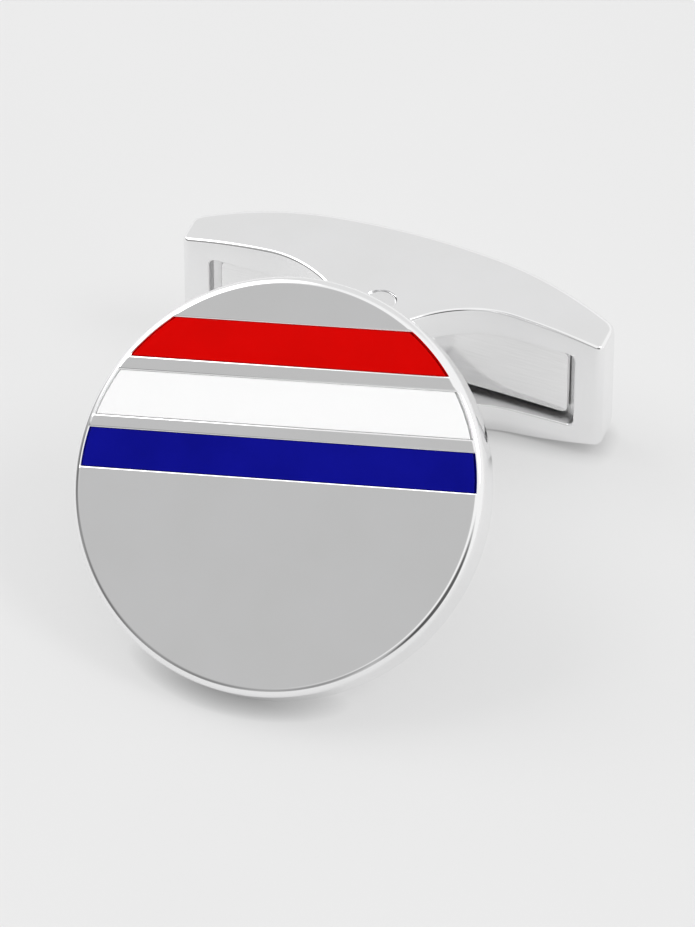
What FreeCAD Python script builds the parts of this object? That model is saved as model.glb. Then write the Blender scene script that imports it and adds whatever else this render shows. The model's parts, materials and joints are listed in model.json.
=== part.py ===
import FreeCAD, Part
import math
import os

import Sketcher

# Round cufflink with three enamel stripes and a sprung swivel toggle, as it lies on a table.
# Millimetres and degrees. X runs along the toggle, -Y is the side that the face looks to, Z is up.

# Driving dimensions: name, value, meaning
DIMENSIONS = [
    ("face_diameter", 18.8, "outside of the round face"),
    ("face_thickness", 2.25, "front to back of the face"),
    ("face_tilt", 50.0, "angle of the face's normal above the table"),
    ("face_edge_round", 0.42, "rounding of the front edge"),
    ("face_back_chamfer", 0.18, "bevel of the back edge"),
    ("stripe_angle", 10.8, "angle of the stripes to the toggle"),
    ("red_width", 1.86, "width of the red stripe"),
    ("white_width", 2.06, "width of the white stripe"),
    ("blue_width", 1.76, "width of the blue stripe"),
    ("upper_bar", 0.65, "metal between red and white"),
    ("lower_bar", 0.60, "metal between white and blue"),
    ("blue_offset", 0.28, "face centre to the blue stripe's lower edge"),
    ("cell_depth", 0.50, "depth of the enamel cells"),
    ("enamel_sink", 0.10, "enamel surface below the metal"),
    ("enamel_gap", 0.01, "enamel to cell wall"),
    ("pivot_distance", 12.85, "face centre to pivot, along the table"),
    ("pin_diameter", 1.50, "diameter of the pivot pin"),
    ("pin_running_gap", 0.03, "pin in the arm's bore, on the radius"),
    ("pin_seat_gap", 0.005, "pin in the ears, on the radius"),
    ("pin_sink", 0.06, "pin end below the ear's surface"),
    ("pin_end_chamfer", 0.12, "bevel of the pin's ends"),
    ("toggle_length", 20.5, "toggle, end to end"),
    ("toggle_mid_height", 7.60, "toggle height at the middle"),
    ("toggle_end_height", 6.05, "toggle height at the ends"),
    ("toggle_land", 8.0, "flat middle of the toggle's top and bottom"),
    ("toggle_mid_depth", 3.80, "front plane to back at the middle"),
    ("toggle_end_depth", 2.00, "front plane to back at the ends"),
    ("front_setback", 1.30, "pivot to the toggle's front plane"),
    ("ear_radius", 1.72, "round nose of the ears about the pin"),
    ("ear_flank", 45.0, "angle of the ears' flanks to the front plane"),
    ("ear_blend", 5.50, "hollow between flank and front plane"),
    ("toggle_edge_round", 0.25, "rounding of the toggle's front and end edges"),
    ("toggle_end_round", 0.35, "rounding of the toggle's upright front edges"),
    ("toggle_back_round", 0.60, "rounding of the toggle's back edges"),
    ("window_end_wall", 1.35, "metal between the window and the toggle's ends"),
    ("window_height", 4.40, "window in the toggle's front, upright"),
    ("window_round", 0.35, "corners of the window"),
    ("floor_mid_wall", 1.20, "wall behind the window at the middle"),
    ("spring_thickness", 0.35, "thickness of the leaf spring"),
    ("spring_end_inset", 0.42, "front plane to the leaf at its ends"),
    ("spring_side_gap", 0.30, "leaf to the window's upper and lower walls"),
    ("spring_end_gap", 0.42, "leaf to the window's end walls"),
    ("spring_seat_gap", 0.03, "leaf's ends to the window's floor"),
    ("spring_corner_round", 0.35, "corners of the leaf"),
    ("cam_reach", 1.85, "pivot to each flat of the cam"),
    ("cam_round", 0.90, "corners between the cam's flats"),
    ("cam_front", 0.90, "pivot to the front end of the side flats"),
    ("cam_spring_gap", 0.08, "cam flat to the leaf at rest"),
    ("cam_ear_gap", 0.06, "cam to the ears, above and below"),
    ("arm_width", 2.00, "arm, along the toggle"),
    ("arm_height", 2.80, "arm, upright"),
    ("arm_round", 0.60, "corners of the arm's section"),
    ("foot_width", 2.20, "foot on the face's back, along the toggle"),
    ("foot_length", 5.00, "foot on the face's back, up the face"),
    ("foot_thickness", 0.45, "thickness of the foot"),
    ("overrun", 1.00, "how far cuts run past the metal"),
]

# Sizes that follow from the driving dimensions, as sheet formulas
DERIVED = [
    ("face_radius", "=face_diameter / 2"),
    ("cell_radius", "=face_radius - face_edge_round"),
    ("blue_top", "=blue_offset + blue_width"),
    ("white_offset", "=blue_top + lower_bar"),
    ("white_top", "=white_offset + white_width"),
    ("red_offset", "=white_top + upper_bar"),
    ("red_top", "=red_offset + red_width"),
    ("pin_radius", "=pin_diameter / 2"),
    ("half_length", "=toggle_length / 2"),
    ("mid_half", "=toggle_mid_height / 2"),
    ("end_half", "=toggle_end_height / 2"),
    ("land_half", "=toggle_land / 2"),
    ("barrel_drop", "=mid_half - end_half"),
    ("barrel_run", "=half_length - land_half"),
    ("barrel_radius", "=(barrel_run ^ 2 + barrel_drop ^ 2) / (2 * barrel_drop)"),
    ("back_bow", "=toggle_mid_depth - toggle_end_depth"),
    ("back_radius", "=(half_length ^ 2 + back_bow ^ 2) / (2 * back_bow)"),
    ("back_mid", "=front_setback + toggle_mid_depth"),
    ("back_end", "=front_setback + toggle_end_depth"),
    ("nose_x", "=ear_radius * sin(ear_flank)"),
    ("nose_y", "=-ear_radius * cos(ear_flank)"),
    ("flank_root", "=nose_x + (front_setback - nose_y) / tan(ear_flank)"),
    ("blend_run", "=ear_blend * tan(ear_flank / 2)"),
    ("window_half", "=half_length - window_end_wall"),
    ("spring_front_end", "=front_setback + spring_end_inset"),
    ("spring_front_mid", "=cam_reach + cam_spring_gap"),
    ("spring_half", "=window_half - spring_end_gap"),
    ("spring_bow", "=spring_front_mid - spring_front_end"),
    ("spring_radius", "=(spring_half ^ 2 + spring_bow ^ 2) / (2 * spring_bow)"),
    ("spring_height", "=window_height - 2 * spring_side_gap"),
    ("floor_mid", "=back_mid - floor_mid_wall"),
    ("floor_end", "=spring_front_end + spring_thickness + spring_seat_gap"),
    ("floor_bow", "=floor_mid - floor_end"),
    ("floor_radius", "=(spring_half ^ 2 + floor_bow ^ 2) / (2 * floor_bow)"),
    ("floor_edge", "=floor_mid - floor_radius + sqrt(floor_radius ^ 2 - window_half ^ 2)"),
    ("cam_height", "=window_height - 2 * cam_ear_gap"),
    ("face_forward", "=(face_radius - face_edge_round) * sin(face_tilt)"
                     " + face_edge_round * (1 - cos(face_tilt))"),
    ("face_y", "=(face_forward - pivot_distance - back_mid) / 2"),
    ("face_back_radius", "=face_radius - face_back_chamfer"),
    ("face_z", "=face_back_radius * cos(face_tilt) + face_thickness * sin(face_tilt)"),
    ("pivot_y", "=face_y + pivot_distance"),
    ("pivot_z", "=mid_half"),
    ("foot_y", "=face_thickness * cos(face_tilt) - pivot_distance"),
    ("foot_z", "=face_z - face_thickness * sin(face_tilt) - pivot_z"),
    ("bend_radius", "=foot_z / (1 - cos(face_tilt))"),
    ("bend_start", "=foot_y + bend_radius * sin(face_tilt)"),
]

doc = FreeCAD.newDocument("cufflink")


def fill_sheet():
    """Write the driving and derived sizes into the sheet that every feature is bound to."""
    sheet = doc.addObject("Spreadsheet::Sheet", "dims")
    row = 0
    for name, value, meaning in DIMENSIONS:
        row += 1
        sheet.set("A%d" % row, meaning)
        sheet.set("B%d" % row, "%g" % value)
        sheet.setAlias("B%d" % row, name)
    for name, formula in DERIVED:
        row += 1
        sheet.set("A%d" % row, name)
        sheet.set("B%d" % row, formula)
        sheet.setAlias("B%d" % row, name)
    doc.recompute()
    return sheet


dims = fill_sheet()


def new_body(label, base_y, base_z, turn=None):
    """Start a sub-part whose origin lies at a height and depth of the shared frame."""
    body = doc.addObject("PartDesign::Body", label)
    body.Label = label
    about_x = FreeCAD.Rotation(FreeCAD.Vector(1, 0, 0), 1)
    body.Placement = FreeCAD.Placement(FreeCAD.Vector(), about_x)
    body.setExpression("Placement.Base.y", base_y)
    body.setExpression("Placement.Base.z", base_z)
    body.setExpression("Placement.Rotation.Angle", turn or "0")
    return body


def face_body(label):
    """Start a sub-part in the face's own frame: z = 0 is the front, y points up the face."""
    return new_body(label, "dims.face_y", "dims.face_z", "90 - dims.face_tilt")


def toggle_body(label):
    """Start a sub-part with its origin on the pivot, at mid height."""
    return new_body(label, "dims.pivot_y", "dims.pivot_z")


def new_sketch(body, name, plane):
    """Attach an empty sketch to one of the body's own origin planes."""
    sketch = body.newObject("Sketcher::SketchObject", name)
    support = [item for item in body.Origin.OriginFeatures if item.Role == plane][0]
    sketch.AttachmentSupport = [(support, "")]
    sketch.MapMode = "FlatFace"
    return sketch


def bind(sketch, kind, members, expression):
    """Add a dimensional constraint and bind it to the sheet."""
    value = sketch.evalExpression(expression)
    index = sketch.addConstraint(Sketcher.Constraint(kind, *members, value))
    sketch.setExpression("Constraints[%d]" % index, expression)


def pin_vertex(sketch, edge, end, x_text, y_text):
    """Hold one end of an edge at a place given by two sheet expressions."""
    bind(sketch, "DistanceX", (-1, 1, edge, end), x_text)
    bind(sketch, "DistanceY", (-1, 1, edge, end), y_text)


def arc_between(start, stop, radius, side):
    """The shorter arc of a radius from start to stop; side 1 bulges to the left of the way."""
    chord = stop - start
    half = chord.Length / 2
    left = FreeCAD.Vector(-chord.y, chord.x, 0).normalize() * side
    rise = radius - math.sqrt(radius ** 2 - half ** 2)
    return Part.Arc(start, (start + stop) / 2 + left * rise, stop)


def outline(sketch, steps, closed=True):
    """Draw a wire. Each step is x, y and, for an arc that ends there, its radius and side."""
    places = [FreeCAD.Vector(sketch.evalExpression(s[0]), sketch.evalExpression(s[1]), 0) for s in steps]
    first = sketch.GeometryCount
    count = len(steps) if closed else len(steps) - 1
    for number in range(count):
        step = steps[(number + 1) % len(steps)]
        start = places[number]
        stop = places[(number + 1) % len(steps)]
        if len(step) == 2:
            sketch.addGeometry(Part.LineSegment(start, stop), False)
            continue
        curve = arc_between(start, stop, sketch.evalExpression(step[2]), step[3])
        sketch.addGeometry(curve, False)
    ends = [arc_ends(sketch, first + number, places[number]) for number in range(count)]
    for number in range(count):
        following = number + 1
        if following < count or closed:
            after = following % count
            joined = (first + number, ends[number][1], first + after, ends[after][0])
            sketch.addConstraint(Sketcher.Constraint("Coincident", *joined))
        pin_vertex(sketch, first + number, ends[number][0], steps[number][0], steps[number][1])
    if not closed:
        pin_vertex(sketch, first + count - 1, ends[-1][1], steps[-1][0], steps[-1][1])
    for number in range(count):
        step = steps[(number + 1) % len(steps)]
        if len(step) > 2:
            bind(sketch, "Radius", (first + number,), step[2])


def arc_ends(sketch, edge, start):
    """Which end of an edge lies at its start: an arc always runs the same way round."""
    if (sketch.getPoint(edge, 1) - start).Length < (sketch.getPoint(edge, 2) - start).Length:
        return (1, 2)
    return (2, 1)


def circle(sketch, radius):
    """Draw a circle about the sketch's origin."""
    edge = sketch.addGeometry(Part.Circle(FreeCAD.Vector(), FreeCAD.Vector(0, 0, 1),
                                          sketch.evalExpression(radius)), False)
    sketch.addConstraint(Sketcher.Constraint("Coincident", edge, 3, -1, 1))
    bind(sketch, "Radius", (edge,), radius)


def pad(body, name, sketch, length, side="One side", reverse=False):
    """Raise a sketch into metal."""
    feature = body.newObject("PartDesign::Pad", name)
    feature.Profile = sketch
    feature.SideType = side
    feature.Reversed = reverse
    feature.setExpression("Length", length)
    doc.recompute()
    return feature


def pocket(body, name, sketch, length, side="Symmetric"):
    """Cut a sketch out of the body, and make sure that the cut takes metal away."""
    before = body.Shape.Volume
    feature = body.newObject("PartDesign::Pocket", name)
    feature.Profile = sketch
    feature.SideType = side
    feature.setExpression("Length", length)
    doc.recompute()
    if not body.Shape.Volume < before:
        raise RuntimeError("%s cuts nothing" % name)
    return feature


def dress(body, kind, name, wanted):
    """Start a fillet or chamfer on every edge of the body's tip that a test picks out."""
    base = body.Tip
    names = ["Edge%d" % (n + 1) for n, edge in enumerate(base.Shape.Edges) if wanted(edge)]
    feature = body.newObject("PartDesign::" + kind, name)
    feature.Base = (base, names)
    return feature


def fillet(body, name, wanted, radius):
    """Round the picked edges."""
    dress(body, "Fillet", name, wanted).setExpression("Radius", radius)
    doc.recompute()


def chamfer(body, name, wanted, size):
    """Bevel the picked edges."""
    dress(body, "Chamfer", name, wanted).setExpression("Size", size)
    doc.recompute()


# Faces whose normals differ by less than this, in radians, run smoothly into each other
SMOOTH_ANGLE = math.radians(10)


def near(a, b):
    """Equal within the tolerance of the modeller."""
    return math.isclose(a, b, rel_tol=1e-6, abs_tol=1e-6)


STRIPES = [("red", "dims.red_offset", "dims.red_top"),
           ("white", "dims.white_offset", "dims.white_top"),
           ("blue", "dims.blue_offset", "dims.blue_top")]


def stripe_sketch(body, name, lift):
    """A sketch in the face's plane, turned to lie along the stripes."""
    sketch = new_sketch(body, name, "XY_Plane")
    about_normal = FreeCAD.Rotation(FreeCAD.Vector(0, 0, 1), 1)
    sketch.AttachmentOffset = FreeCAD.Placement(FreeCAD.Vector(), about_normal)
    sketch.setExpression("AttachmentOffset.Rotation.Angle", "dims.stripe_angle")
    sketch.setExpression("AttachmentOffset.Base.z", lift)
    return sketch


def draw_stripe(sketch, low, top, radius):
    """Draw a stripe that runs right across the face, with ends that follow its rim."""
    low_x = "sqrt(%s ^ 2 - (%s) ^ 2)" % (radius, low)
    top_x = "sqrt(%s ^ 2 - (%s) ^ 2)" % (radius, top)
    outline(sketch, [
        ("-" + low_x, low, radius, -1),
        (low_x, low),
        (top_x, top, radius, -1),
        ("-" + top_x, top),
    ])


def build_face_disc():
    """Round face with a rounded front edge and one cell for each stripe."""
    body = face_body("face_disc")
    blank = new_sketch(body, "face_blank", "XY_Plane")
    circle(blank, "dims.face_radius")
    pad(body, "face_plate", blank, "dims.face_thickness", reverse=True)
    fillet(body, "face_front_edge", lambda e: near(e.CenterOfMass.z, 0), "dims.face_edge_round")
    back = -dims.face_thickness
    chamfer(body, "face_back_edge", lambda e: near(e.CenterOfMass.z, back), "dims.face_back_chamfer")
    cells = stripe_sketch(body, "face_cells", "0")
    for _, low, top in STRIPES:
        draw_stripe(cells, low, top, "dims.cell_radius")
    pocket(body, "face_cell_cut", cells, "dims.cell_depth", "One side")
    return body


def build_enamel(colour, low, top):
    """Enamel that fills one cell to just below the metal."""
    body = face_body("enamel_" + colour)
    sketch = stripe_sketch(body, colour + "_fill", "-dims.cell_depth")
    gap = "dims.enamel_gap"
    draw_stripe(sketch, "%s + %s" % (low, gap), "%s - %s" % (top, gap), "(dims.cell_radius - %s)" % gap)
    pad(body, colour + "_glass", sketch, "dims.cell_depth - dims.enamel_sink")
    return body


def build_swivel_arm():
    """Bent arm: foot on the face's back, shank, and a square cam with the pin's bore."""
    body = toggle_body("swivel_arm")
    plan = new_sketch(body, "cam_plan", "XY_Plane")
    flat_end = "dims.cam_reach - dims.cam_round"
    neck = "dims.arm_width / 2"
    neck_y = "-dims.cam_front - dims.cam_reach + dims.arm_width / 2"
    outline(plan, [
        ("-" + neck, neck_y),
        (neck, neck_y),
        ("dims.cam_reach", "-dims.cam_front"),
        ("dims.cam_reach", flat_end),
        (flat_end, "dims.cam_reach", "dims.cam_round", -1),
        ("-(%s)" % flat_end, "dims.cam_reach"),
        ("-dims.cam_reach", flat_end, "dims.cam_round", -1),
        ("-dims.cam_reach", "-dims.cam_front"),
    ])
    pad(body, "cam", plan, "dims.cam_height", "Symmetric")

    route = new_sketch(body, "arm_route", "YZ_Plane")
    outline(route, [
        ("-dims.cam_front", "0"),
        ("dims.bend_start", "0"),
        ("dims.foot_y", "dims.foot_z", "dims.bend_radius", 1),
    ], closed=False)
    section = new_sketch(body, "arm_section", "XZ_Plane")
    section.setExpression("AttachmentOffset.Base.z", "dims.cam_front")
    outline(section, rounded_rectangle("dims.arm_width", "dims.arm_height", "dims.arm_round"))
    shank = body.newObject("PartDesign::AdditivePipe", "shank")
    shank.Profile = section
    shank.Spine = route
    doc.recompute()

    sole = new_sketch(body, "foot_sole", "XY_Plane")
    about_x = FreeCAD.Rotation(FreeCAD.Vector(1, 0, 0), 1)
    sole.AttachmentOffset = FreeCAD.Placement(FreeCAD.Vector(), about_x)
    sole.setExpression("AttachmentOffset.Rotation.Angle", "90 - dims.face_tilt")
    sole.setExpression("AttachmentOffset.Base.y", "dims.foot_y")
    sole.setExpression("AttachmentOffset.Base.z", "dims.foot_z")
    outline(sole, rounded_rectangle("dims.foot_width", "dims.foot_length", "dims.arm_round"))
    pad(body, "foot", sole, "dims.foot_thickness", reverse=True)

    bore = new_sketch(body, "pin_bore", "XY_Plane")
    circle(bore, "dims.pin_radius + dims.pin_running_gap")
    pocket(body, "pin_bore_cut", bore, "dims.cam_height + dims.overrun")
    return body


def rounded_rectangle(width, height, radius):
    """Outline of a rectangle about the origin with round corners."""
    far_x = "%s / 2" % width
    far_y = "%s / 2" % height
    near_x = "%s / 2 - %s" % (width, radius)
    near_y = "%s / 2 - %s" % (height, radius)
    return [
        ("-(%s)" % near_x, "-" + far_y, radius, -1),
        (near_x, "-" + far_y),
        (far_x, "-(%s)" % near_y, radius, -1),
        (far_x, near_y),
        (near_x, far_y, radius, -1),
        ("-(%s)" % near_x, far_y),
        ("-" + far_x, near_y, radius, -1),
        ("-" + far_x, "-(%s)" % near_y),
    ]


def build_toggle_frame():
    """Hollow bar: bowed back, barrelled top and bottom, two ears and a front window."""
    body = toggle_body("toggle_frame")
    plan = new_sketch(body, "toggle_plan", "XY_Plane")
    blend_x = "dims.flank_root - dims.blend_run * cos(dims.ear_flank)"
    blend_y = "dims.front_setback - dims.blend_run * sin(dims.ear_flank)"
    front_x = "dims.flank_root + dims.blend_run"
    outline(plan, [
        ("-dims.nose_x", "dims.nose_y"),
        ("dims.nose_x", "dims.nose_y", "dims.ear_radius", -1),
        (blend_x, blend_y),
        (front_x, "dims.front_setback", "dims.ear_blend", 1),
        ("dims.half_length", "dims.front_setback"),
        ("dims.half_length", "dims.back_end"),
        ("-dims.half_length", "dims.back_end", "dims.back_radius", -1),
        ("-dims.half_length", "dims.front_setback"),
        ("-(%s)" % front_x, "dims.front_setback"),
        ("-(%s)" % blend_x, blend_y, "dims.ear_blend", 1),
    ])
    pad(body, "toggle_blank", plan, "dims.toggle_mid_height", "Symmetric")

    barrel = new_sketch(body, "barrel_waste", "XZ_Plane")
    past_x = "(dims.half_length + dims.overrun)"
    past_z = "(dims.mid_half + dims.overrun)"
    for across, upright in ((1, 1), (-1, 1), (-1, -1), (1, -1)):
        way_x = "%d * " % across
        way_z = "%d * " % upright
        outline(barrel, [
            (way_x + "dims.land_half", way_z + past_z),
            (way_x + "dims.land_half", way_z + "dims.mid_half"),
            (way_x + "dims.half_length", way_z + "dims.end_half", "dims.barrel_radius", across * upright),
            (way_x + past_x, way_z + "dims.end_half"),
            (way_x + past_x, way_z + past_z),
        ])
    pocket(body, "barrel_cut", barrel, "2 * (dims.back_mid + dims.overrun)")

    fillet(body, "toggle_back_edges", back_edge, "dims.toggle_back_round")
    fillet(body, "toggle_ends", front_end_edge, "dims.toggle_end_round")
    skin = body.Tip.Shape
    fillet(body, "toggle_rims", lambda e: sharp_edge(skin, e), "dims.toggle_edge_round")

    channel = new_sketch(body, "window_plan", "XY_Plane")
    front = "-dims.ear_radius - dims.overrun"
    outline(channel, [
        ("-dims.window_half", front),
        ("dims.window_half", front),
        ("dims.window_half", "dims.floor_edge"),
        ("-dims.window_half", "dims.floor_edge", "dims.floor_radius", -1),
    ])
    pocket(body, "window_cut", channel, "dims.window_height")
    fillet(body, "window_corners", window_corner, "dims.window_round")

    bore = new_sketch(body, "pin_seat", "XY_Plane")
    circle(bore, "dims.pin_radius + dims.pin_seat_gap")
    pocket(body, "pin_seat_cut", bore, "dims.toggle_mid_height + dims.overrun")
    return body


def back_edge(edge):
    """An edge between the bowed back and the barrelled top or bottom."""
    return edge.CenterOfMass.y > dims.back_end and not near(edge.BoundBox.XLength, 0)


def front_end_edge(edge):
    """An upright edge between the front and an end of the toggle."""
    place = edge.CenterOfMass
    return near(abs(place.x), dims.half_length) and near(place.y, dims.front_setback)


def sharp_edge(shape, edge):
    """An edge where two faces of the shape meet at an angle."""
    place = edge.valueAt((edge.FirstParameter + edge.LastParameter) / 2)
    normals = [face.normalAt(*face.Surface.parameter(place))
               for face in shape.ancestorsOfType(edge, Part.Face)]
    return len(normals) == 2 and normals[0].getAngle(normals[1]) > SMOOTH_ANGLE


def window_corner(edge):
    """An edge along Y where the window's end walls meet its upper and lower walls."""
    box = edge.BoundBox
    place = edge.CenterOfMass
    along_y = near(box.XLength, 0) and near(box.ZLength, 0)
    at_end = near(abs(place.x), dims.window_half)
    return along_y and at_end and near(abs(place.z), dims.window_height / 2)


def build_detent_spring():
    """Bowed leaf that lies in the window and bears on the cam."""
    body = toggle_body("detent_spring")
    plan = new_sketch(body, "spring_plan", "XY_Plane")
    back_end = "dims.spring_front_end + dims.spring_thickness"
    outline(plan, [
        ("-dims.spring_half", "dims.spring_front_end"),
        ("dims.spring_half", "dims.spring_front_end", "dims.spring_radius", 1),
        ("dims.spring_half", back_end),
        ("-dims.spring_half", back_end, "dims.spring_radius", -1),
    ])
    pad(body, "leaf", plan, "dims.spring_height", "Symmetric")
    fillet(body, "leaf_corners", spring_corner, "dims.spring_corner_round")
    return body


def spring_corner(edge):
    """A short edge through the leaf's thickness at one of its corners."""
    box = edge.BoundBox
    return near(box.XLength, 0) and near(box.ZLength, 0)


def build_pivot_pin():
    """Plain pin with bevelled ends, seated in the ears."""
    body = toggle_body("pivot_pin")
    section = new_sketch(body, "pin_section", "XY_Plane")
    circle(section, "dims.pin_radius")
    pad(body, "pin_rod", section, "dims.toggle_mid_height - 2 * dims.pin_sink", "Symmetric")
    chamfer(body, "pin_ends", lambda e: e.Closed, "dims.pin_end_chamfer")
    return body


def check_document(bodies):
    """Stop before anything is written if a feature failed or a solid is broken."""
    doc.recompute()
    for item in doc.Objects:
        if "Invalid" in item.State or "Error" in item.State:
            raise RuntimeError("%s failed: %s" % (item.Label, item.State))
    for body in bodies:
        shape = body.Shape
        if shape.isNull() or not shape.isValid() or len(shape.Solids) != 1:
            raise RuntimeError("%s is not one valid solid" % body.Label)


def main():
    bodies = [build_face_disc()]
    bodies += [build_enamel(*stripe) for stripe in STRIPES]
    bodies += [build_swivel_arm(), build_toggle_frame(), build_detent_spring(), build_pivot_pin()]
    check_document(bodies)
    os.makedirs("parts", exist_ok=True)
    for body in bodies:
        body.Shape.exportStep("parts/%s.step" % body.Label)
        box = body.Shape.optimalBoundingBox(False)
        print("%-14s volume %8.3f  x %.2f %.2f  y %.2f %.2f  z %.2f %.2f" % (
            body.Label, body.Shape.Volume, box.XMin, box.XMax, box.YMin, box.YMax, box.ZMin, box.ZMax))


main()
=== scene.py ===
import json
import math

import bmesh
import bpy
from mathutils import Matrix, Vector


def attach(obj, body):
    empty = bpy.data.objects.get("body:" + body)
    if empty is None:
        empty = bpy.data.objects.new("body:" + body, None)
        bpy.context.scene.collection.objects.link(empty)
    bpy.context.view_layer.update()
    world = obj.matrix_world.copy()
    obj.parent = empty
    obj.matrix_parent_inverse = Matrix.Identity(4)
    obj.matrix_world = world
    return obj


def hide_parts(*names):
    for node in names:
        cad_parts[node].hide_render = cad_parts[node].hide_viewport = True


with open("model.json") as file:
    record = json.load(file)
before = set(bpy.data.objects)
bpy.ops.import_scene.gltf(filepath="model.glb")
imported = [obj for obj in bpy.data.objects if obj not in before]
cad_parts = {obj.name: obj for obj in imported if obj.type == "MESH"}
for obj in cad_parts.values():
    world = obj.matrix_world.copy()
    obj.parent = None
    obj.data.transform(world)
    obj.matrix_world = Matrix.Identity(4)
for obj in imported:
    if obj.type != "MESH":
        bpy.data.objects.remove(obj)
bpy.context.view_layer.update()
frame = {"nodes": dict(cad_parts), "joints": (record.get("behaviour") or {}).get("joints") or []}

# Round striped cufflink on a pale table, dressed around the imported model.
# Sizes are in millimetres, in the model's frame: X along the toggle, -Y where the face looks, Z up.

MM = 0.001
PIVOT = Vector(frame["joints"][0]["pos_m"]) / MM

# Face: its front centre, and the directions across, up and out of it
PIVOT_DISTANCE = 12.85
FACE_TILT = math.radians(50.0)
FACE_RADIUS = 9.4
FACE_THICKNESS = 2.25
FACE_EDGE_ROUND = 0.42
FACE_BACK_ROUND = 0.30
FACE_BACK_CHAMFER = 0.18
FACE_FLAT = FACE_RADIUS - FACE_EDGE_ROUND
FACE_U = Vector((1, 0, 0))
FACE_V = Vector((0, math.sin(FACE_TILT), math.cos(FACE_TILT)))
FACE_W = Vector((0, -math.cos(FACE_TILT), math.sin(FACE_TILT)))
FACE_HEIGHT = ((FACE_RADIUS - FACE_BACK_CHAMFER) * math.cos(FACE_TILT)
               + FACE_THICKNESS * math.sin(FACE_TILT))
FACE_CENTRE = Vector((0, PIVOT.y - PIVOT_DISTANCE, FACE_HEIGHT))

# Stripes: lower and upper edge from the face's centre, across the stripes
STRIPE_ANGLE = math.radians(10.8)
STRIPES = {"blue": (0.28, 2.04), "white": (2.64, 4.70), "red": (5.35, 7.21)}
CELL_RADIUS = FACE_FLAT
CELL_DEPTH = 0.50
CELL_EDGE_ROUND = 0.10
CELL_LIP_DEPTH = 0.16
CELL_LIP_FLARE = 0.8
ENAMEL_SINK = 0.06
ENAMEL_GAP = 0.01
ENAMEL_EDGE_ROUND = 0.03

# Toggle, from the pivot
TOGGLE_HALF = 10.25
TOGGLE_MID_HALF = 3.80
TOGGLE_END_HALF = 3.025
TOGGLE_LAND = 4.0
TOGGLE_FRONT = 1.30
TOGGLE_BACK_MID = 5.10
TOGGLE_BACK_END = 3.30
TOGGLE_EDGE_ROUND = 0.16
TOGGLE_END_ROUND = 0.35
TOGGLE_BACK_ROUND = 0.60
TOGGLE_CORNER_ROUND = 0.45
EAR_RADIUS = 1.72
EAR_FLANK = math.radians(45.0)
EAR_BLEND = 5.50
WINDOW_HALF_LENGTH = 8.90
WINDOW_HALF_HEIGHT = 2.2
WINDOW_ROUND = 0.35
WINDOW_EDGE_ROUND = 0.10
FLOOR_MID = 3.90
FLOOR_END = 2.10

# Leaf spring and pin, from the pivot
LEAF_HALF_LENGTH = 8.48
LEAF_HALF_HEIGHT = 1.90
LEAF_THICKNESS = 0.35
LEAF_FRONT_MID = 1.93
LEAF_FRONT_END = 1.72
LEAF_CORNER = 0.35
LEAF_EDGE_ROUND = 0.06
PIN_RADIUS = 0.75
PIN_SEAT_GAP = 0.005
PIN_SINK = 0.06
PIN_END_ROUND = 0.12

# Cutters: the angle where a rounded edge turns into a flare, how far the flare rises above the surface
# as a share of the edge's radius, and how far the cutter runs on
FLARE_DEGREES = 75
FLARE_STEPS = 7
FLARE_LIFT = 0.25
OVERRUN = 0.50

# Fineness of the meshes: points round a quarter turn or along a run, and sides of a round
RIM_STEPS = 17
FACE_BACK_STEPS = 9
DISC_SIDES = 288
STRIPE_STEPS = 25
EASE_STEPS = 5
TOGGLE_STEPS = 131
TOGGLE_END_STEPS = 13
TOGGLE_FRONT_STEPS = 9
TOGGLE_BACK_STEPS = 13
SLOT_STEPS = 181
SLOT_CORNER_STEPS = 9
SEAT_SIDES = 96
PIN_SIDES = 64
PIN_END_STEPS = 8
WELD = 1e-5
SLOPE_STEP = 0.001
FLAT_WEIGHT = 100


def arc_drop(radius, offset):
    """How far an arc of a radius has fallen away at an offset from its crest."""
    return radius - math.sqrt(radius ** 2 - offset ** 2)


def bow(middle, end, half_length, x):
    """Height at x of an arc with one height in its middle and another at both ends."""
    rise = middle - end
    radius = (half_length ** 2 + rise ** 2) / (2 * rise)
    return middle - arc_drop(radius, x)


def steps(start, stop, count):
    """Evenly spaced values, both ends included."""
    return [start + (stop - start) * i / (count - 1) for i in range(count)]


def quarter(count):
    """Evenly spaced angles of a quarter turn."""
    return steps(0, math.pi / 2, count)


def rounding(radius, count):
    """Points round an edge from its side to its top, as (step in from the side, drop from the top)."""
    return [(radius * (1 - math.cos(turn)), radius * (1 - math.sin(turn))) for turn in quarter(count)]


def flared_edge(radius):
    """Edge of a cutter, as (depth below the surface, step outwards): a round, then a flare, then
    straight on."""
    turns = [math.radians(turn) for turn in steps(0, FLARE_DEGREES, FLARE_STEPS)]
    edge = [(radius * (1 - math.sin(turn)), radius * (1 - math.cos(turn))) for turn in turns]
    depth, side = edge[-1]
    lift = radius * FLARE_LIFT
    flare = side + (lift + depth) * math.tan(turns[-1])
    return edge + [(-lift, flare), (-OVERRUN, flare)]


def new_object(name, bm):
    """Put a finished bmesh, in millimetres, into the scene in metres."""
    bmesh.ops.remove_doubles(bm, verts=bm.verts, dist=WELD)
    bmesh.ops.dissolve_degenerate(bm, edges=bm.edges, dist=WELD)
    bmesh.ops.recalc_face_normals(bm, faces=bm.faces)
    bmesh.ops.scale(bm, vec=(MM, MM, MM), verts=bm.verts)
    mesh = bpy.data.meshes.new(name)
    bm.to_mesh(mesh)
    bm.free()
    piece = bpy.data.objects.new(name, mesh)
    bpy.context.scene.collection.objects.link(piece)
    return piece


def join_rings(bm, rings):
    """Skin between each ring of points and the next."""
    count = len(rings[0])
    for lower, upper in zip(rings, rings[1:]):
        for i in range(count):
            j = (i + 1) % count
            bm.faces.new((lower[i], lower[j], upper[j], upper[i]))


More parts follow.
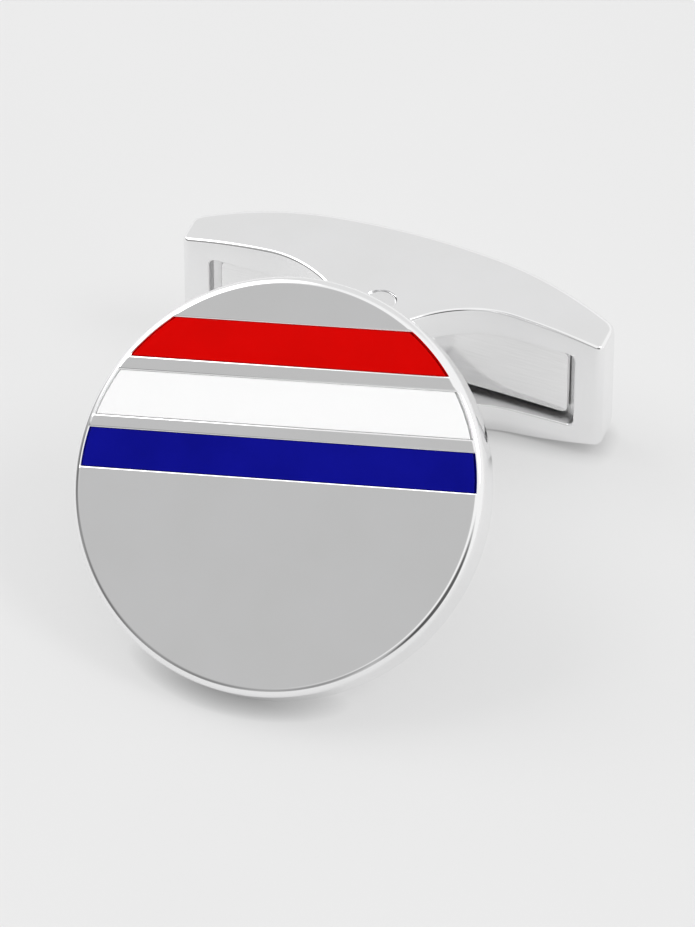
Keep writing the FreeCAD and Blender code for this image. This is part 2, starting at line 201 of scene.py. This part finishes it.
def layered(name, rings, place):
    """Closed solid through rings of points. A ring runs up one flank and back down the other,
    and the two flanks' points lie opposite each other, so that strips between them cap the solid."""
    bm = bmesh.new()
    layers = [[bm.verts.new(place(*point)) for point in ring] for ring in rings]
    join_rings(bm, layers)
    count = len(rings[0])
    for ring in (layers[0], layers[-1]):
        for i in range(count // 2 - 1):
            bm.faces.new((ring[i], ring[i + 1], ring[count - 2 - i], ring[count - 1 - i]))
    return new_object(name, bm)


def lathe(name, profile, place, sides):
    """Solid of revolution from (radius, height) points, with flat ends."""
    bm = bmesh.new()
    rings = []
    for radius, height in profile:
        ring = []
        for i in range(sides):
            turn = 2 * math.pi * i / sides
            ring.append(bm.verts.new(place(radius * math.cos(turn), radius * math.sin(turn), height)))
        rings.append(ring)
    join_rings(bm, rings)
    bm.faces.new(rings[0])
    bm.faces.new(rings[-1])
    return new_object(name, bm)


def bake(piece):
    """Turn a piece's modifiers into its mesh."""
    bpy.context.view_layer.update()
    shaped = piece.evaluated_get(bpy.context.evaluated_depsgraph_get())
    mesh = bpy.data.meshes.new_from_object(shaped)
    piece.modifiers.clear()
    piece.data = mesh


def cut(piece, tool):
    """Cut a tool out of a piece, and remove the tool."""
    change = piece.modifiers.new("cut", "BOOLEAN")
    change.operation = "DIFFERENCE"
    change.solver = "EXACT"
    change.object = tool
    bake(piece)
    bpy.data.objects.remove(tool)


def smooth(piece, sharp_degrees):
    """Smooth shading that keeps flats flat and leaves the sharp edges sharp."""
    piece.data.shade_smooth()
    piece.data.set_sharp_from_angle(angle=math.radians(sharp_degrees))
    weighted = piece.modifiers.new("flats", "WEIGHTED_NORMAL")
    weighted.keep_sharp = True
    weighted.weight = FLAT_WEIGHT
    bake(piece)


def on_face(x, y, w):
    """A place in the face's own frame."""
    return FACE_CENTRE + FACE_U * x + FACE_V * y + FACE_W * w


def on_stripes(along, across, w):
    """A place in the face's own frame, measured along and across the stripes."""
    x = along * math.cos(STRIPE_ANGLE) - across * math.sin(STRIPE_ANGLE)
    y = along * math.sin(STRIPE_ANGLE) + across * math.cos(STRIPE_ANGLE)
    return on_face(x, y, w)


def at_pivot(x, y, z):
    """A place measured from the pivot."""
    return PIVOT + Vector((x, y, z))


def stripe_ring(low, high, radius, w):
    """Outline of a stripe across the face at one height, its ends on a circle about the centre."""
    right = [(math.sqrt(radius ** 2 - across ** 2), across, w)
             for across in steps(low, high, STRIPE_STEPS)]
    left = [(-along, across, w) for along, across, w in reversed(right)]
    return right + left


def cell_cutter(low, high):
    """What is cut out for one stripe: square walls, rounded upper edges and a bevelled lip."""
    lift = CELL_EDGE_ROUND * FLARE_LIFT
    levels = [(CELL_DEPTH, 0.0), (CELL_LIP_DEPTH, 0.0)] + flared_edge(CELL_EDGE_ROUND)
    rings = []
    for depth, side in levels:
        lip = max(0.0, CELL_LIP_DEPTH - max(depth, -lift)) * CELL_LIP_FLARE
        rings.append(stripe_ring(low - side, high + side, CELL_RADIUS + lip, -depth))
    return layered("cutter", rings, on_stripes)


def make_face_disc():
    """Polished disc with a rounded rim and three cells."""
    profile = []
    for turn in quarter(RIM_STEPS):
        profile.append((FACE_FLAT + FACE_EDGE_ROUND * math.sin(turn),
                        -FACE_EDGE_ROUND * (1 - math.cos(turn))))
    back_centre = FACE_RADIUS - FACE_BACK_ROUND
    for turn in quarter(FACE_BACK_STEPS):
        profile.append((back_centre + FACE_BACK_ROUND * math.cos(turn),
                        -FACE_THICKNESS + FACE_BACK_ROUND * (1 - math.sin(turn))))
    disc = lathe("polished_face", profile, on_face, DISC_SIDES)
    for low, high in STRIPES.values():
        cut(disc, cell_cutter(low, high))
    smooth(disc, sharp_degrees=60)
    return disc


def make_enamel(colour):
    """Enamel fill of one cell, with eased upper edges."""
    low, high = STRIPES[colour]
    levels = [(-CELL_DEPTH + ENAMEL_GAP, ENAMEL_GAP)]
    for ease, drop in rounding(ENAMEL_EDGE_ROUND, EASE_STEPS):
        levels.append((-ENAMEL_SINK - drop, ENAMEL_GAP + ease))
    rings = [stripe_ring(low + side, high - side, CELL_RADIUS - side, w) for w, side in levels]
    fill = layered("enamel_stripe_" + colour, rings, on_stripes)
    smooth(fill, sharp_degrees=50)
    return fill


def toggle_front(x):
    """Front of the toggle in plan: round ear, straight flank, hollow blend, flat front."""
    x = abs(x)
    nose_x = EAR_RADIUS * math.sin(EAR_FLANK)
    nose_y = -EAR_RADIUS * math.cos(EAR_FLANK)
    root = nose_x + (TOGGLE_FRONT - nose_y) / math.tan(EAR_FLANK)
    run = EAR_BLEND * math.tan(EAR_FLANK / 2)
    if x <= nose_x:
        return -math.sqrt(EAR_RADIUS ** 2 - x ** 2)
    if x <= root - run * math.cos(EAR_FLANK):
        return nose_y + (x - nose_x) * math.tan(EAR_FLANK)
    if x <= root + run:
        return TOGGLE_FRONT - arc_drop(EAR_BLEND, root + run - x)
    return TOGGLE_FRONT


def toggle_back(x):
    """Bowed back of the toggle in plan."""
    return bow(TOGGLE_BACK_MID, TOGGLE_BACK_END, TOGGLE_HALF, x)


def toggle_half_height(x):
    """Half height of the toggle: level in the middle, falling away to the ends."""
    past = max(0.0, abs(x) - TOGGLE_LAND)
    return bow(TOGGLE_MID_HALF, TOGGLE_END_HALF, TOGGLE_HALF - TOGGLE_LAND, past)


def window_floor(x):
    """Bowed floor of the window, through the seats of the leaf's ends."""
    return bow(FLOOR_MID, FLOOR_END, LEAF_HALF_LENGTH, x)


def leaf_front(x):
    """Bowed front of the leaf."""
    return bow(LEAF_FRONT_MID, LEAF_FRONT_END, LEAF_HALF_LENGTH, x)


def mirrored_ring(upper):
    """Ring from its upper flank, with the lower flank as its mirror image."""
    return upper + [(x, y, -z) for x, y, z in reversed(upper)]


def toggle_section(x):
    """Section of the toggle at a place along it: front edge, top, back edge, and below again.
    Towards the ends it is drawn in, which rounds them."""
    past = abs(x) - TOGGLE_HALF
    pull = arc_drop(TOGGLE_EDGE_ROUND, max(0.0, past + TOGGLE_EDGE_ROUND))
    front = toggle_front(x) + arc_drop(TOGGLE_END_ROUND, max(0.0, past + TOGGLE_END_ROUND))
    back = toggle_back(x) - arc_drop(TOGGLE_CORNER_ROUND, max(0.0, past + TOGGLE_CORNER_ROUND))
    top = toggle_half_height(x) - pull
    front_round = TOGGLE_EDGE_ROUND - pull
    back_round = TOGGLE_BACK_ROUND - pull
    slope = (toggle_front(x + SLOPE_STEP) - toggle_front(x - SLOPE_STEP)) / (2 * SLOPE_STEP)
    front_run = front_round * math.hypot(1, slope)
    upper = []
    for turn in quarter(TOGGLE_FRONT_STEPS):
        upper.append((x, front + front_run * (1 - math.cos(turn)),
                      top - front_round * (1 - math.sin(turn))))
    for turn in quarter(TOGGLE_BACK_STEPS):
        upper.append((x, back - back_round * (1 - math.sin(turn)),
                      top - back_round * (1 - math.cos(turn))))
    return mirrored_ring(upper)


def make_toggle():
    """Hollow toggle: rounded skin, front window and the pin's seat through both ears."""
    straight = TOGGLE_HALF - TOGGLE_END_ROUND
    places = steps(0, straight, TOGGLE_STEPS)
    places += [straight + TOGGLE_END_ROUND * math.sin(turn) for turn in quarter(TOGGLE_END_STEPS)[1:]]
    places = [-x for x in reversed(places[1:])] + places
    toggle = layered("swivel_toggle", [toggle_section(x) for x in places], at_pivot)
    cut(toggle, window_cutter())
    cut(toggle, pin_cutter())
    smooth(toggle, sharp_degrees=40)
    return toggle


def slot_ring(half_length, half_height, corner, surface, sink):
    """Ring of a rounded slot that lies a given depth under a surface, which is a function of x."""
    left = [(-half_length + inset, half_height - drop)
            for inset, drop in rounding(corner, SLOT_CORNER_STEPS)]
    reach = half_length - corner
    middle = [(x, half_height) for x in steps(-reach, reach, SLOT_STEPS)[1:-1]]
    right = [(-x, z) for x, z in reversed(left)]
    return mirrored_ring([(x, surface(x) + sink, z) for x, z in left + middle + right])


def window_cutter():
    """What is cut out for the window, with a rounded edge that follows the toggle's front."""
    rings = [slot_ring(WINDOW_HALF_LENGTH, WINDOW_HALF_HEIGHT, WINDOW_ROUND, window_floor, 0.0)]
    for depth, side in flared_edge(WINDOW_EDGE_ROUND):
        rings.append(slot_ring(WINDOW_HALF_LENGTH + side, WINDOW_HALF_HEIGHT + side,
                               WINDOW_ROUND + side, toggle_front, depth))
    return layered("cutter", rings, at_pivot)


def pin_cutter():
    """What is cut out for the pin, right through both ears."""
    reach = TOGGLE_MID_HALF + OVERRUN
    profile = [(PIN_RADIUS + PIN_SEAT_GAP, -reach), (PIN_RADIUS + PIN_SEAT_GAP, reach)]
    return lathe("cutter", profile, at_pivot, SEAT_SIDES)


def make_leaf():
    """Bowed leaf spring with eased edges."""
    edge = rounding(LEAF_EDGE_ROUND, EASE_STEPS)
    levels = edge[::-1] + [(inset, LEAF_THICKNESS - drop) for inset, drop in edge]
    rings = []
    for inset, sink in levels:
        rings.append(slot_ring(LEAF_HALF_LENGTH - inset, LEAF_HALF_HEIGHT - inset,
                               LEAF_CORNER - inset, leaf_front, sink))
    leaf = layered("leaf_spring", rings, at_pivot)
    smooth(leaf, sharp_degrees=40)
    return leaf


def make_pin():
    """Pivot pin with rounded ends."""
    end = TOGGLE_MID_HALF - PIN_SINK
    half = [(PIN_RADIUS - inset, end - drop) for inset, drop in rounding(PIN_END_ROUND, PIN_END_STEPS)]
    profile = [(r, -z) for r, z in reversed(half)] + half
    pin = lathe("hinge_pin", profile, at_pivot, PIN_SIDES)
    smooth(pin, sharp_degrees=50)
    return pin


class Paint:
    """A node material under construction."""

    def __init__(self, name):
        self.material = bpy.data.materials.new(name)
        self.material.use_nodes = True
        self.nodes = self.material.node_tree.nodes
        self.links = self.material.node_tree.links
        self.shader = self.nodes["Principled BSDF"]
        self.place = self.add("ShaderNodeTexCoord").outputs["Object"]

    def add(self, kind, **settings):
        """A new node with some of its settings."""
        node = self.nodes.new(kind)
        for key, value in settings.items():
            setattr(node, key, value)
        return node

    def set(self, **values):
        """Plain values on the shader's own sockets."""
        for key, value in values.items():
            self.shader.inputs[key.replace("_", " ")].default_value = value

    def drive(self, socket, value):
        """Link a value that varies over the surface to one of the shader's sockets."""
        self.links.new(value, self.shader.inputs[socket])

    def noise(self, scale, stretch=(1, 1, 1), detail=3.0):
        """Noise with features about 1 / scale metres wide, stretched along an axis by a small factor."""
        mapping = self.add("ShaderNodeMapping")
        mapping.inputs["Scale"].default_value = stretch
        self.links.new(self.place, mapping.inputs["Vector"])
        texture = self.add("ShaderNodeTexNoise")
        texture.inputs["Scale"].default_value = scale
        texture.inputs["Detail"].default_value = detail
        self.links.new(mapping.outputs["Vector"], texture.inputs["Vector"])
        return texture.outputs["Fac"]

    def ramp(self, value, low, high, ends):
        """Turn a value between two limits into a colour or a number between two ends."""
        node = self.add("ShaderNodeMapRange")
        node.inputs["From Min"].default_value = low
        node.inputs["From Max"].default_value = high
        self.links.new(value, node.inputs["Value"])
        if not isinstance(ends[0], tuple):
            node.inputs["To Min"].default_value = ends[0]
            node.inputs["To Max"].default_value = ends[1]
            return node.outputs["Result"]
        mix = self.add("ShaderNodeMix", data_type="RGBA")
        self.links.new(node.outputs["Result"], mix.inputs["Factor"])
        mix.inputs["A"].default_value = ends[0] + (1,)
        mix.inputs["B"].default_value = ends[1] + (1,)
        return mix.outputs["Result"]

    def inside(self, middle, half):
        """One inside a box given in millimetres, and zero outside it."""
        parts = self.add("ShaderNodeSeparateXYZ")
        self.links.new(self.place, parts.inputs["Vector"])
        share = None
        for axis, centre, reach in zip("XYZ", middle, half):
            near = self.add("ShaderNodeMath", operation="COMPARE")
            self.links.new(parts.outputs[axis], near.inputs[0])
            near.inputs[1].default_value = centre * MM
            near.inputs[2].default_value = reach * MM
            if share:
                both = self.add("ShaderNodeMath", operation="MULTIPLY")
                self.links.new(share, both.inputs[0])
                self.links.new(near.outputs["Value"], both.inputs[1])
                near = both
            share = near.outputs["Value"]
        return share

    def blend(self, share, first, second):
        """The first number where the share is zero, and the second, a plain value, where it is one."""
        mix = self.add("ShaderNodeMix", data_type="FLOAT")
        self.links.new(share, mix.inputs["Factor"])
        self.links.new(first, mix.inputs["A"])
        mix.inputs["B"].default_value = second
        return mix.outputs["Result"]

    def bump(self, height, strength, distance):
        """Fine relief of a given depth in millimetres."""
        node = self.add("ShaderNodeBump")
        node.inputs["Strength"].default_value = strength
        node.inputs["Distance"].default_value = distance * MM
        self.links.new(height, node.inputs["Height"])
        self.links.new(node.outputs["Normal"], self.shader.inputs["Normal"])


# Two tones of each material
PLATING_TONES = ((0.93, 0.93, 0.935), (0.91, 0.91, 0.91))
STRIP_TONES = ((0.94, 0.94, 0.94), (0.90, 0.90, 0.90))
PIN_TONES = ((0.91, 0.91, 0.915), (0.87, 0.87, 0.87))
ENAMEL_TONES = {
    "red": ((0.70, 0.001, 0.0005), (0.66, 0.001, 0.0003)),
    "white": ((0.985, 0.985, 0.985), (0.975, 0.975, 0.975)),
    "blue": ((0.004, 0.005, 0.275), (0.003, 0.004, 0.235)),
}
TABLE_TONES = ((0.285, 0.285, 0.285), (0.275, 0.275, 0.275))

# The toggle's unpolished inside: its roughness, and the box that holds it, from the pivot
HOLLOW_ROUGHNESS = 0.35
HOLLOW_MIDDLE = 1.0
HOLLOW_HALF_DEPTH = 2.0
HOLLOW_MARGIN = 0.02


def polished_metal(name, hollow=None):
    """Bright plated metal: faint smudges and hairlines in an almost mirror polish.
    A hollow, as the middle and half size of a box, is left unpolished."""
    paint = Paint(name)
    paint.set(Metallic=1.0)
    smudges = paint.noise(scale=350.0, detail=4.0)
    paint.drive("Base Color", paint.ramp(smudges, low=0.35, high=0.7, ends=PLATING_TONES))
    hairlines = paint.noise(scale=9000.0, stretch=(0.03, 1, 1))
    roughness = paint.ramp(hairlines, low=0.4, high=0.75, ends=(0.045, 0.085))
    if hollow:
        roughness = paint.blend(paint.inside(*hollow), roughness, HOLLOW_ROUGHNESS)
    paint.drive("Roughness", roughness)
    paint.bump(paint.noise(scale=1400.0), strength=0.03, distance=0.02)
    return paint.material


def spring_metal():
    """Rolled strip: fine lines along its length."""
    paint = Paint("rolled_strip")
    paint.set(Metallic=1.0)
    lines = paint.noise(scale=16000.0, stretch=(0.012, 1, 1))
    paint.drive("Base Color", paint.ramp(lines, low=0.3, high=0.7, ends=STRIP_TONES))
    paint.drive("Roughness", paint.ramp(lines, low=0.3, high=0.7, ends=(0.10, 0.17)))
    paint.bump(lines, strength=0.05, distance=0.01)
    return paint.material


def pin_metal():
    """Polished pin with faint marks."""
    paint = Paint("polished_pin")
    paint.set(Metallic=1.0)
    marks = paint.noise(scale=7000.0)
    paint.drive("Base Color", paint.ramp(marks, low=0.3, high=0.7, ends=PIN_TONES))
    paint.drive("Roughness", paint.ramp(marks, low=0.3, high=0.7, ends=(0.06, 0.12)))
    paint.bump(marks, strength=0.04, distance=0.01)
    return paint.material


def enamel_paint(colour):
    """Glossy poured enamel: slightly uneven colour under a smooth, faintly rippled surface."""
    paint = Paint("poured_enamel_" + colour)
    paint.set(Specular_IOR_Level=0.04)
    clouds = paint.noise(scale=420.0, detail=4.0)
    paint.drive("Base Color", paint.ramp(clouds, low=0.35, high=0.7, ends=ENAMEL_TONES[colour]))
    gloss = paint.noise(scale=2200.0)
    paint.drive("Roughness", paint.ramp(gloss, low=0.3, high=0.7, ends=(0.06, 0.11)))
    paint.bump(paint.noise(scale=900.0), strength=0.04, distance=0.02)
    return paint.material


def dress(piece, node, body, material):
    """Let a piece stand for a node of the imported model."""
    piece.data.materials.clear()
    piece.data.materials.append(material)
    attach(piece, body)
    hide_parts(node)


def make_pieces():
    """A detailed piece for each node but the arm, which keeps its shape and gets the plating."""
    plating = polished_metal("polished_plating")
    hollow = (at_pivot(0, HOLLOW_MIDDLE, 0),
              (WINDOW_HALF_LENGTH + HOLLOW_MARGIN, HOLLOW_HALF_DEPTH, WINDOW_HALF_HEIGHT + HOLLOW_MARGIN))
    toggle_plating = polished_metal("toggle_plating", hollow)
    dress(make_face_disc(), "face_disc", "face", plating)
    for colour in ENAMEL_TONES:
        dress(make_enamel(colour), "enamel_" + colour, "face", enamel_paint(colour))
    dress(make_toggle(), "toggle_frame", "toggle", toggle_plating)
    dress(make_leaf(), "detent_spring", "toggle", spring_metal())
    dress(make_pin(), "pivot_pin", "toggle", pin_metal())
    arm = frame["nodes"]["swivel_arm"]
    arm.data.materials.clear()
    arm.data.materials.append(plating)


# Table: its glow right under the part and in the open, and how near the part dims it; this dimming is a
# painted contact shadow
TABLE_HALF = 2000.0
TABLE_GLOW_WITH_PAINTED_SHADOW = (0.17, 0.48)
PAINTED_SHADOW_REACH = 1.0
PAINTED_SHADOW_SAMPLES = 16


def make_table():
    """Plain pale table top that glows softly, as if lit from below, with a painted contact shadow: the
    glow dims where something stands close to it.
    """
    bm = bmesh.new()
    corners = ((-1, -1), (1, -1), (1, 1), (-1, 1))
    bm.faces.new([bm.verts.new((x * TABLE_HALF, y * TABLE_HALF, 0)) for x, y in corners])
    table = new_object("table", bm)
    paint = Paint("pale_table")
    paint.set(Roughness=0.7, Specular_IOR_Level=0.2, Emission_Color=(1, 1, 1, 1))
    mottle = paint.noise(scale=40.0)
    paint.drive("Base Color", paint.ramp(mottle, low=0.3, high=0.7, ends=TABLE_TONES))
    # Painted contact shadow: ambient occlusion near the part dims the table's glow
    painted_shadow = paint.add("ShaderNodeAmbientOcclusion", samples=PAINTED_SHADOW_SAMPLES)
    painted_shadow.inputs["Distance"].default_value = PAINTED_SHADOW_REACH * MM
    painted_shadow_glow = paint.ramp(painted_shadow.outputs["AO"], low=0.0, high=1.0, ends=TABLE_GLOW_WITH_PAINTED_SHADOW)
    paint.drive("Emission Strength", painted_shadow_glow)
    table.data.materials.append(paint.material)


# Studio light: a dome with soft spots. Each spot has an azimuth from -Y to +X and an elevation, in
# degrees, the angles from its middle where it starts to fade and where it ends, and its gain.
DOME = 0.97
SPOTS = [
    (-95.0, 44.0, 12.0, 30.0, 4.3),
    (95.0, 50.0, 4.0, 14.0, 8.0),
    (-157.0, 42.0, 24.0, 42.0, 0.82),
    (-25.0, 50.3, 9.0, 24.0, 0.567),
    (-80.0, 22.0, 6.0, 28.0, 0.33),
    (-53.0, 18.0, 6.0, 27.0, 0.39),
    (-30.0, 16.0, 6.0, 27.0, 0.42),
    (-7.0, 15.0, 6.0, 27.0, 0.53),
    (16.0, 16.0, 6.0, 27.0, 0.55),
    (44.0, 23.0, 11.0, 26.0, 0.12),
]


def towards(azimuth, elevation):
    """Direction at an azimuth from -Y to +X and an elevation, in degrees."""
    azimuth = math.radians(azimuth)
    elevation = math.radians(elevation)
    level = math.cos(elevation)
    return Vector((level * math.sin(azimuth), -level * math.cos(azimuth), math.sin(elevation)))


def make_light():
    """Soft light all round, brighter at the sides and dimmer low in front."""
    world = bpy.data.worlds.new("studio")
    bpy.context.scene.world = world
    world.use_nodes = True
    nodes = world.node_tree.nodes
    links = world.node_tree.links
    direction = nodes.new("ShaderNodeTexCoord").outputs["Generated"]

    def spot(azimuth, elevation, inner, outer, gain):
        """A factor that is the gain inside a cone and fades to one at its edge."""
        nearness = nodes.new("ShaderNodeVectorMath")
        nearness.operation = "DOT_PRODUCT"
        nearness.inputs[1].default_value = towards(azimuth, elevation)
        links.new(direction, nearness.inputs[0])
        fade = nodes.new("ShaderNodeMapRange")
        fade.interpolation_type = "SMOOTHSTEP"
        limits = (math.cos(math.radians(outer)), math.cos(math.radians(inner)), 1.0, gain)
        for key, number in zip(("From Min", "From Max", "To Min", "To Max"), limits):
            fade.inputs[key].default_value = number
        links.new(nearness.outputs["Value"], fade.inputs["Value"])
        return fade.outputs["Result"]

    strength = None
    for numbers in SPOTS:
        product = nodes.new("ShaderNodeMath")
        product.operation = "MULTIPLY"
        product.inputs[0].default_value = DOME
        if strength:
            links.new(strength, product.inputs[0])
        links.new(spot(*numbers), product.inputs[1])
        strength = product.outputs["Value"]
    background = nodes["Background"]
    background.inputs["Color"].default_value = (1.0, 1.0, 1.0, 1.0)
    links.new(strength, background.inputs["Strength"])


# Camera: the photograph's viewing angle
CAMERA_AZIMUTH = 21.87
CAMERA_ELEVATION = 44.56
CAMERA_DISTANCE = 360.0
VIEW_CENTRE = Vector((-0.99, -3.035, 5.0))
AIM = Vector((1.73, -1.185, 5.71))
SENSOR_HEIGHT = 36.0
LENS = 313.0
CLIP_START = 10.0


def make_camera():
    """Camera with a long lens, turned slightly off the view's centre to frame the part."""
    camera = bpy.data.cameras.new("camera")
    camera.sensor_fit = "VERTICAL"
    camera.sensor_height = SENSOR_HEIGHT
    camera.lens = LENS
    camera.clip_start = CLIP_START * MM
    eye = bpy.data.objects.new("camera", camera)
    place = VIEW_CENTRE + towards(CAMERA_AZIMUTH, CAMERA_ELEVATION) * CAMERA_DISTANCE
    eye.location = place * MM
    eye.rotation_euler = (AIM - place).to_track_quat("-Z", "Y").to_euler()
    bpy.context.scene.collection.objects.link(eye)
    bpy.context.scene.camera = eye


make_pieces()
make_table()
make_light()
make_camera()
bpy.context.scene.view_settings.view_transform = "Standard"
